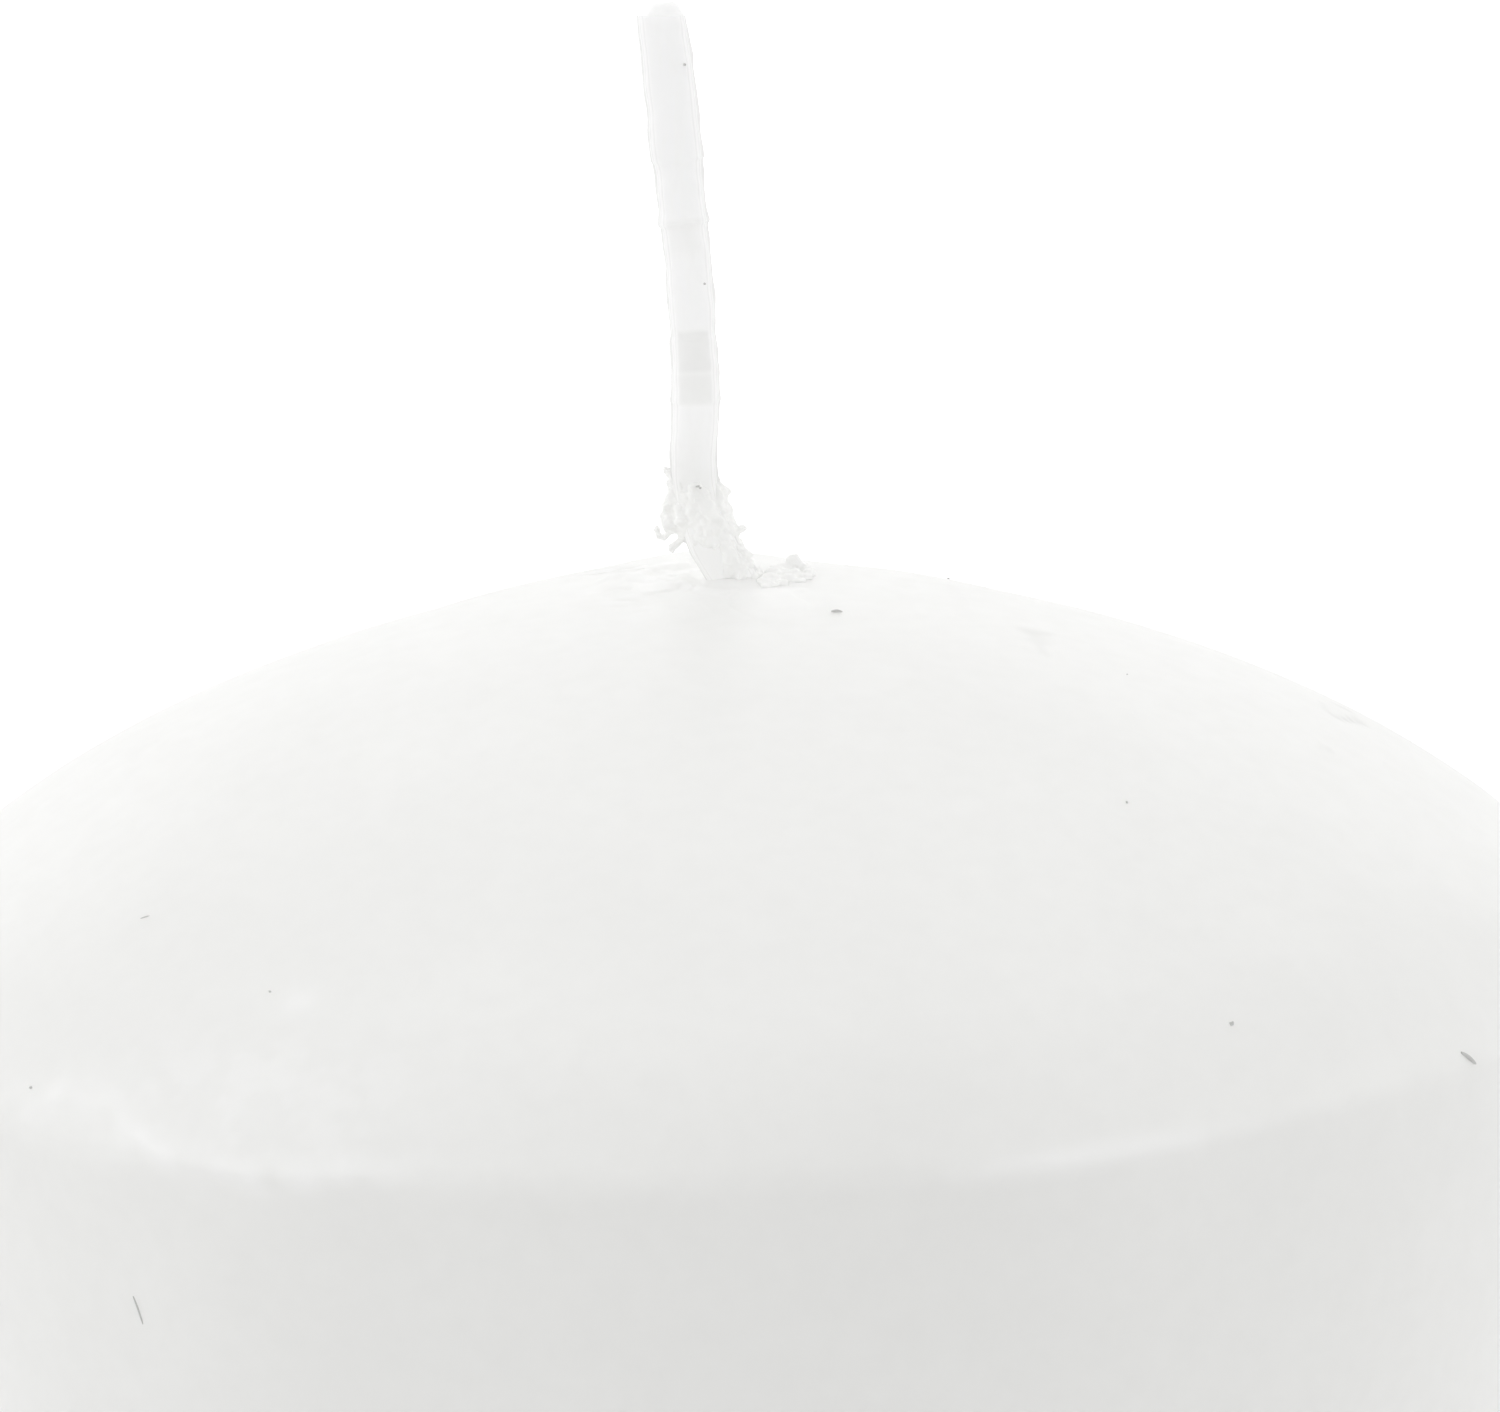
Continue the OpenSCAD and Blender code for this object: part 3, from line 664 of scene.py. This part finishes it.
# %% [markdown]
# The flake is a scrap of the dome's own skin that lifted when the mould was opened. It is a flat tube: a
# thin lens-shaped loop is carried along its length over the dome, and its near edge curls up a little.

# %% The lifted flake
FLAKE_L, FLAKE_W, FLAKE_T, FLAKE_CURL = 3.3, 1.1, 0.035, 0.012
FLAKE_AT, FLAKE_TURN = np.array([-2.85, 3.2]), -42 * DEG


def flake_rings(rings=60, count=40):
    """Width = FLAKE_W times (1 - s squared), s from -1 to 1; height = dome + thin ellipse + curl."""
    s = np.cos(np.linspace(np.pi, 0, rings + 2)[1:-1])[:, None]
    angle = 2 * np.pi * np.arange(count) / count
    width = FLAKE_W * (1 - s**2) * (1 + 0.12 * np.sin(9 * s + 1))
    flat_x = s * FLAKE_L / 2 + 0 * angle
    flat_y = width / 2 * np.cos(angle)
    thick = FLAKE_T / 2 * (1 - s**2) ** 0.3 * np.sin(angle)
    x = FLAKE_AT[0] + flat_x * np.cos(FLAKE_TURN) - flat_y * np.sin(FLAKE_TURN)
    y = FLAKE_AT[1] + flat_x * np.sin(FLAKE_TURN) + flat_y * np.cos(FLAKE_TURN)
    curl = FLAKE_CURL * step(-flat_y, 0.1, 0.5) * (1 - s**2)
    return on_dome(x, y, FLAKE_T / 3 + thick + curl)


flake = skin("lifted_flake", flake_rings()[None])

# %% [markdown]
# Four cotton fibres, which look dark on white wax, and some specks of dust lie on the candle. They are thin
# bent tubes and tiny lumps that touch the surface.

# %% Fibres and specks
def fibres(rows, steps=10, count=8):
    """Round tubes along short curves, thinner at both ends: radius times the square root of 4 t (1 - t)."""
    tubes = []
    for radius, path in rows:
        core = evenly(smooth_curve(np.array(path, float), 8), steps)
        ahead = unit(np.gradient(core, axis=0))
        first = unit(np.cross(ahead, [0.31, 0.2, 0.93]))
        second = np.cross(ahead, first)
        angle = 2 * np.pi * np.arange(count) / count
        t = (np.arange(steps) + 0.5) / steps
        thick = (radius * np.sqrt(4 * t * (1 - t)))[:, None, None]
        ring = first[:, None] * np.cos(angle)[:, None] + second[:, None] * np.sin(angle)[:, None]
        tubes.append(core[:, None] + thick * ring)
    return np.array(tubes)


FIBRES = [  # radius and path
    (0.036, [(2.86, -3.28, 29.74), (3.0, -3.3, 29.75), (3.14, -3.34, 29.73)]),
    (0.05, rim_line((318.4, 20.9, 0.02), (318.9, 20.75, 0.03), (319.5, 20.55, 0.02))),
    (0.022, rim_line((232.0, 17.0, 0.01), (232.25, 16.7, 0.01), (232.45, 16.35, 0.01))),
    (0.014, [(-13.62, -12.6, 24.6), (-13.5, -12.6, 24.64), (-13.38, -12.6, 24.66)])]
fibre_piece = skin("dark_fibres", fibres(FIBRES))
SPECKS = np.array([  # place and size
    (11.15, -17.98, 22.57, 0.08), (9.41, -12.01, 26.43, 0.06), (10.1, -4.73, 28.14, 0.05),
    (6.15, 3.89, 29.3, 0.07), (*on_rim(223.6, 21.34), 0.08), (-10.29, -16.82, 23.78, 0.05),
    (3.46, 0.71, 29.88, 0.05), (foot[0] - 0.88, -0.6, foot_z + 13.28, 0.09),
    (foot[0] - 0.57, -0.58, foot_z + 7.78, 0.06), (foot[0] - 0.92, -0.74, foot_z + 2.66, 0.085),
    (foot[0] - 0.86, -0.74, foot_z + 2.62, 0.05)])
speck_piece = skin("dust_specks", lumps(SPECKS[:, :3], SPECKS[:, 3], 41, rings=8, count=10))

# %% [markdown]
# Materials come next. One small helper adds a node, sets its properties and feeds its sockets with either a
# value or another node's output, so each material below reads as a list of what the surface is. A colour is
# built up like coats of paint, each laid over the last. Colours are written as sRGB hex and turned into the
# linear values that light is worked out with.

# %% Material helpers
def linear(colour):
    """sRGB hex to linear: below 0.04045 divide by 12.92, above it ((c + 0.055) / 1.055) to the power 2.4."""
    parts = np.array([int(colour[i : i + 2], 16) for i in (1, 3, 5)]) / 255
    values = np.where(parts <= 0.04045, parts / 12.92, ((parts + 0.055) / 1.055) ** 2.4)
    return (*values.tolist(), 1.0)


def feed(tree, node, sockets):
    """Fills each named socket of a node with a value, or links another node's output to it."""
    for key, value in sockets.items():
        if isinstance(value, bpy.types.NodeSocket):
            tree.links.new(value, node.inputs[key])
        else:
            node.inputs[key].default_value = value


def add(tree, kind, sockets=None, output=0, **settings):
    """Adds a node, sets its properties, feeds its sockets and gives back one of its outputs, if any."""
    made = tree.nodes.new(kind)
    for key, value in settings.items():
        setattr(made, key, value)
    feed(tree, made, sockets or {})
    return made.outputs[output] if made.outputs else None


def blank(owner):
    """The node tree of a material or a world, emptied."""
    owner.use_nodes = True
    owner.node_tree.nodes.clear()
    return owner.node_tree


def new_material(name):
    """An empty material, its tree, its Principled shader on the output, and its Object coordinates."""
    material = bpy.data.materials.new(name)
    tree = blank(material)
    surface = add(tree, "ShaderNodeBsdfPrincipled")
    add(tree, "ShaderNodeOutputMaterial", {"Surface": surface})
    return material, tree, surface.node, add(tree, "ShaderNodeTexCoord", output="Object")


MIX_BELOW, MIX_ABOVE, MIX_RESULT = 6, 7, 2  # the Mix node's sockets that are for colours


def layered(tree, colour, coats):
    """Lays coats over a colour, one after another: each is a share, which may be a socket, and a colour."""
    for share, over in coats:
        sockets = {"Factor": share, MIX_BELOW: colour, MIX_ABOVE: over}
        colour = add(tree, "ShaderNodeMix", sockets, MIX_RESULT, data_type="RGBA")
    return colour


# %% [markdown]
# The body is fully refined paraffin wax, pressed and left with a satin skin. Light spreads in it for a
# millimetre or so before it leaves, which softens every edge, so the shader has some subsurface scattering.
# The faint clouds are where the wax cooled at different speeds. The scuffed places are whiter, because broken
# wax scatters light at its surface, and the small chips are greyer. The same white coat also paints
# highlights along the rim's edge and on the marks left of the wick's foot, and paints light in front of the
# foot, where the wick shades the dome. Thin crumbs also let light through from behind, which the scattering
# loses where pieces are pushed into one another, so they have a faint light of their own instead.

# %% Paraffin wax, pressed, satin
PARAFFIN_IOR, CLOUD_SIZE = 1.44, 7
WHITE_LIGHT = (1.0, 1.0, 1.0, 1.0)
EVEN_SPREAD = (1.0, 1.0, 1.0)


def paraffin_wax(name, light, deep, grain, depth, through, dull=0.0, glow=0.0):
    """Wax between the colours light and deep; grain and depth, how far light spreads, are in millimetres."""
    material, tree, shader, where = new_material(name)
    clouds, flecks = (
        add(tree, "ShaderNodeTexNoise", {"Vector": where, "Scale": 1 / (size * MM), "Detail": detail})
        for size, detail in ((CLOUD_SIZE, 3.0), (grain, 2.0)))
    chip, scuff_and_highlight = (add(tree, "ShaderNodeAttribute", output="Fac", attribute_name=kept)
                   for kept in ("chip", "scuff_and_highlight"))
    cloudy = add(tree, "ShaderNodeMapRange", {"Value": clouds, "From Min": 0.3, "From Max": 0.7})
    flecked = add(tree, "ShaderNodeMapRange", {
        "Value": flecks, "From Min": 0.35, "From Max": 0.75, "To Max": 0.2})
    # The last white coat is whiter scuffed wax, and also painted highlight on the rim and by the foot and
    # painted light in front of the foot.
    feed(tree, shader, {
        "Base Color": layered(tree, linear(light), [
            (cloudy, linear(deep)), (flecked, linear("#EFEFED")), (chip, linear("#DCDCDA")),
            (scuff_and_highlight, linear("#FFFFFE"))]),
        "Roughness": add(tree, "ShaderNodeMapRange", {
            "Value": flecks, "From Min": 0.3, "From Max": 0.7, "To Min": 0.36 + dull, "To Max": 0.46 + dull}),
        "Normal": add(tree, "ShaderNodeBump", {"Height": flecks, "Strength": 0.2, "Distance": 0.01 * MM}),
        "IOR": PARAFFIN_IOR,
        "Emission Color": WHITE_LIGHT,
        "Emission Strength": glow,
        "Subsurface Weight": through,
        "Subsurface Radius": EVEN_SPREAD,
        "Subsurface Scale": depth * MM,
    })
    shader.subsurface_method = "BURLEY"
    return material


wax_body_material = paraffin_wax(
    "paraffin_pressed_satin", "#F7F7F5", "#F4F4F2", grain=0.6, depth=1.1, through=0.35)
crumb_material = paraffin_wax(
    "paraffin_broken_crumbs", "#F7F7F6", "#F2F2F0", grain=0.2, depth=0.12, through=0.6, dull=0.2, glow=0.06)

# %% [markdown]
# The wick is white cotton under a thin coat of the same wax. Where the coat is whole it looks milky, and in
# the cracked stretches the cotton shows through it and turns greyer. Near the corners and on the two narrow
# sides the colour is greyer too, a painted shade that draws the dark fine lines along the wick's edges, and
# there the narrow sides also lose their specular gloss. Light passes through the coat, and a faint light of
# its own stands for what the scattering loses, most of all at the foot, where the crumbs are pushed into the
# wick.

# %% Waxed cotton, plaited
COAT_COLOURS = [  # share of the wick's height over the dome, and the colour there
    (0.0, "#FDFDFC"), (0.09, "#FAFAF9"), (0.11, "#F8F8F7"), (0.235, "#F8F8F7"), (0.32, "#FAFAF9"),
    (0.33, "#ECECEB"), (0.373, "#ECECEB"), (0.379, "#EFEFEE"), (0.386, "#E9E9E8"), (0.45, "#EAEAE9"),
    (0.458, "#FAFAF9"), (0.57, "#FCFCFB"), (0.6, "#F4F4F3"), (0.645, "#F2F2F1"), (0.652, "#FCFCFB"),
    (0.94, "#FCFCFB"), (0.975, "#F8F8F7")]
BARE_UP_TO, COATED_FROM, STREAK_SIZE = 2.6, 4.4, 0.35
GLOW_LOW, GLOW_HIGH, GLOW_STEADY_FROM = 0.07, 0.045, 4.6


def waxed_cotton(name):
    """Cotton under wax: bands by height on the middle of each face, then streaks, and painted shade as dark
    corner and edge lines.
    """
    material, tree, shader, where = new_material(name)
    height, middle, corner, edge_shade = (
        add(tree, "ShaderNodeAttribute", output="Fac", attribute_name=kept)
        for kept in ("height", "middle", "corner", "edge_shade"))
    along_z = add(tree, "ShaderNodeMapping", {"Vector": where, "Scale": (1.0, 1.0, 0.25)})
    streaks = add(tree, "ShaderNodeTexNoise", {
        "Vector": along_z, "Scale": 1 / (STREAK_SIZE * MM), "Detail": 3.0})
    up_wick = add(tree, "ShaderNodeMapRange", {"Value": height, "From Max": ROUTE_H})
    banded = add(tree, "ShaderNodeValToRGB", {"Fac": up_wick})
    bands = banded.node.color_ramp.elements
    bands.remove(bands[1])
    bands[0].color = linear(COAT_COLOURS[0][1])
    for share, colour in COAT_COLOURS[1:]:
        bands.new(share).color = linear(colour)
    streaked = add(tree, "ShaderNodeMapRange", {
        "Value": streaks, "From Min": 0.4, "From Max": 0.75, "To Max": 0.35})
    corner_shade = add(tree, "ShaderNodeMapRange", {
        "Value": corner, "From Min": 0.1, "From Max": 0.9, "To Max": 0.5})
    # The corner and edge coats are painted shade, the dark fine lines along the wick's edges.
    feed(tree, shader, {
        "Base Color": layered(tree, linear("#FBFBFA"), [
            (middle, banded), (streaked, linear("#EBEBEA")), (corner_shade, linear("#E2E2E1")),
            (edge_shade, linear("#E4E4E3"))]),
        "Roughness": add(tree, "ShaderNodeMapRange", {
            "Value": streaks, "From Min": 0.3, "From Max": 0.7, "To Min": 0.3, "To Max": 0.45}),
        "Normal": add(tree, "ShaderNodeBump", {"Height": streaks, "Strength": 0.3, "Distance": 0.02 * MM}),
        "IOR": PARAFFIN_IOR,
        "Specular IOR Level": add(tree, "ShaderNodeMapRange", {"Value": edge_shade, "To Min": 0.5, "To Max": 0.0}),
        "Emission Color": WHITE_LIGHT,
        "Emission Strength": add(tree, "ShaderNodeMapRange", {
            "Value": height, "From Min": BARE_UP_TO, "From Max": GLOW_STEADY_FROM,
            "To Min": GLOW_LOW, "To Max": GLOW_HIGH}),
        "Subsurface Weight": add(tree, "ShaderNodeMapRange", {
            "Value": height, "From Min": BARE_UP_TO, "From Max": COATED_FROM}),
        "Subsurface Radius": EVEN_SPREAD,
        "Subsurface Scale": 1.3 * MM,
    })
    return material


wick_material = waxed_cotton("cotton_plaited_waxed")

# %% [markdown]
# The disc under the wick is tinned sheet steel, bright when new and soon finely rubbed. It is a metal, so
# its colour is its reflection, and the fine scratches are a stretched noise in its roughness. The dust
# fibres and specks are grey cotton lint.

# %% Tinned steel and lint
RUB_SIZE, STRAND_SIZE = 0.3, 0.05


def tinned_steel(name):
    """Rubbed tin: a noise stretched along Y varies both its colour and its roughness."""
    material, tree, shader, where = new_material(name)
    along_y = add(tree, "ShaderNodeMapping", {"Vector": where, "Scale": (1.0, 0.12, 1.0)})
    rubbed = add(tree, "ShaderNodeTexNoise", {
        "Vector": along_y, "Scale": 1 / (RUB_SIZE * MM), "Detail": 4.0})
    feed(tree, shader, {
        "Base Color": layered(tree, linear("#C9CBCC"), [(rubbed, linear("#DADBDB"))]),
        "Roughness": add(tree, "ShaderNodeMapRange", {
            "Value": rubbed, "From Min": 0.3, "From Max": 0.7, "To Min": 0.22, "To Max": 0.4}),
        "Metallic": 1.0,
    })
    return material


def grey_lint(name):
    """Dull cotton dust between two greys."""
    material, tree, shader, where = new_material(name)
    strands = add(tree, "ShaderNodeTexNoise", {
        "Vector": where, "Scale": 1 / (STRAND_SIZE * MM), "Detail": 2.0})
    greys = layered(tree, linear("#C6C6C4"), [(strands, linear("#D6D6D4"))])
    feed(tree, shader, {"Base Color": greys, "Roughness": 0.9})
    return material


steel_material = tinned_steel("tinned_steel_sheet")
lint_material = grey_lint("cotton_lint_grey")

# %% [markdown]
# Each piece now says which solid it stands for, which body it rides on and which finish it has. This candle
# has no moving part, so its only body is the root. The metal disc is right as packed and only gets a finish.

# %% Pieces, bodies and finishes
DRESSED = [
    (body_piece, ["wax_body"], "white_wax", wax_body_material),
    (wick_piece, ["wick"], "waxed_cotton", wick_material),
    (collar, ["wick_crumbs"], "wax_crumbs", crumb_material),
    (heap, ["dome_crumbs"], "wax_crumbs", crumb_material),
    (flake, ["wax_flake"], "white_wax", crumb_material),
    (fibre_piece, [], "waxed_cotton", lint_material),
    (speck_piece, [], "waxed_cotton", lint_material)]
for piece, nodes, slot, material in DRESSED:
    piece.data.materials.append(material)
    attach(piece, "root")
    if nodes:
        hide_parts(*nodes)
for place in bpy.data.objects["wick_sustainer"].material_slots:
    place.material = steel_material

# %% [markdown]
# The table is a wide pale floor. It has to look as white as the background and still keep the candle's
# shadow, so a little light of its own is added to it for the rays that come from the camera or off a glossy
# surface, and the world does the same.

# %% Floor and world
FLOOR_HALF, FLOOR_GLOW, WORLD_LIGHT = 3.0, 0.6, 0.68
floor_corners = FLOOR_HALF * np.array([[-1, -1, 0], [1, -1, 0], [1, 1, 0], [-1, 1, 0]])
floor_mesh = bpy.data.meshes.new("table")
floor_mesh.from_pydata(floor_corners.tolist(), [], [(0, 1, 2, 3)])
floor = show("table", floor_mesh)


def seen_directly(tree):
    """1 for camera, glossy and transmission rays, 0 for the light that falls on things."""
    rays = add(tree, "ShaderNodeLightPath").node.outputs
    seen = rays["Is Camera Ray"]
    for kind in ("Is Glossy Ray", "Is Transmission Ray"):
        seen = add(tree, "ShaderNodeMath", {0: seen, 1: rays[kind]}, operation="MAXIMUM")
    return seen


floor_material = bpy.data.materials.new("white_card")
tree = blank(floor_material)
card = add(tree, "ShaderNodeBsdfDiffuse", {"Color": linear("#E2E2E2")})
glow_share = add(tree, "ShaderNodeMath", {0: seen_directly(tree), 1: FLOOR_GLOW}, operation="MULTIPLY")
glow = add(tree, "ShaderNodeEmission", {"Color": WHITE_LIGHT, "Strength": glow_share})
sheet = add(tree, "ShaderNodeAddShader", {0: card, 1: glow})
add(tree, "ShaderNodeOutputMaterial", {"Surface": sheet})
floor.data.materials.append(floor_material)

world = bpy.data.worlds.new("white_room")
scene.world = world
tree = blank(world)
strength = add(tree, "ShaderNodeMapRange", {"Value": seen_directly(tree), "To Min": WORLD_LIGHT})
backdrop = add(tree, "ShaderNodeBackground", {"Color": WHITE_LIGHT, "Strength": strength})
add(tree, "ShaderNodeOutputWorld", {"Surface": backdrop})

# %% [markdown]
# Four softboxes do the rest: a large one overhead, one behind, which shines through the wick and along the
# dome's far side, one on the left, and a weaker one on the right. The front stays darkest, so the dome reads
# as round, and the two side lamps draw the thin bright line along the rim where its edge turns to them,
# together with a highlight painted into the wax's colour there.

# %% Lamps
def placed(right, up, back, spot):
    """The matrix of something whose own X, Y and Z point right, up and back, at a spot."""
    return Matrix([*np.stack([right, up, back, spot], -1).tolist(), (0, 0, 0, 1)])


LAMPS = [  # name, angle round the candle, height angle, distance in m, width and height in m, watts
    ("top_softbox", 90, 75, 0.55, 0.6, 0.6, 0.6),
    ("back_softbox", 90, 25, 0.6, 0.9, 0.4, 0.46),
    ("left_softbox", 194, 11, 0.5, 0.7, 0.36, 0.8),
    ("right_softbox", 345, 11, 0.5, 0.7, 0.36, 0.62)]
for name, angle, up, distance, width, tall, watts in LAMPS:
    lamp = bpy.data.lights.new(name, "AREA")
    lamp.shape, lamp.size, lamp.size_y, lamp.energy = "RECTANGLE", width, tall, watts
    holder = show(name, lamp)
    heading = direction(angle * DEG, up * DEG)
    right = unit(np.cross([0, 0, 1], heading))
    spot = np.array([0, 0, rim_z]) * MM + heading * distance
    holder.matrix_world = placed(right, np.cross(heading, right), heading, spot)
    holder.visible_camera = False

# %% [markdown]
# The camera stands close, as for a macro photograph: 125 mm from the rim's middle and 13 degrees above it,
# with a long lens, so the candle's sides run out of the picture. It is rolled by two degrees, because the
# photograph is. Its matrix is built from the direction that it looks in, with no constraint.

# %% Camera
CAMERA_AWAY, CAMERA_UP, CAMERA_ROLL = 125.0, 13.38 * DEG, 1.89 * DEG
AIM = np.array([0.78, 0, 6.46])
PIXELS_ACROSS, FOCAL_PIXELS, SENSOR = 1500, 4802, 36.0
centre = np.array([0, 0, rim_z])
eye = centre + CAMERA_AWAY * np.array([0, -np.cos(CAMERA_UP), np.sin(CAMERA_UP)])
looks = unit(centre + AIM - eye)
level = unit(np.cross(looks, [0, 0, 1]))
upright = np.cross(level, looks)
cos, sin = np.cos(CAMERA_ROLL), np.sin(CAMERA_ROLL)
lens = bpy.data.cameras.new("macro_lens")
lens.sensor_width = SENSOR
lens.lens = FOCAL_PIXELS / PIXELS_ACROSS * SENSOR
lens.clip_start = 0.01
camera = show("macro_camera", lens)
camera.matrix_world = placed(cos * level - sin * upright, sin * level + cos * upright, -looks, eye * MM)
scene.camera = camera
scene.view_settings.view_transform = "Standard"
print(f"lens {lens.lens:.1f} mm, eye at {eye.round(1)} mm")
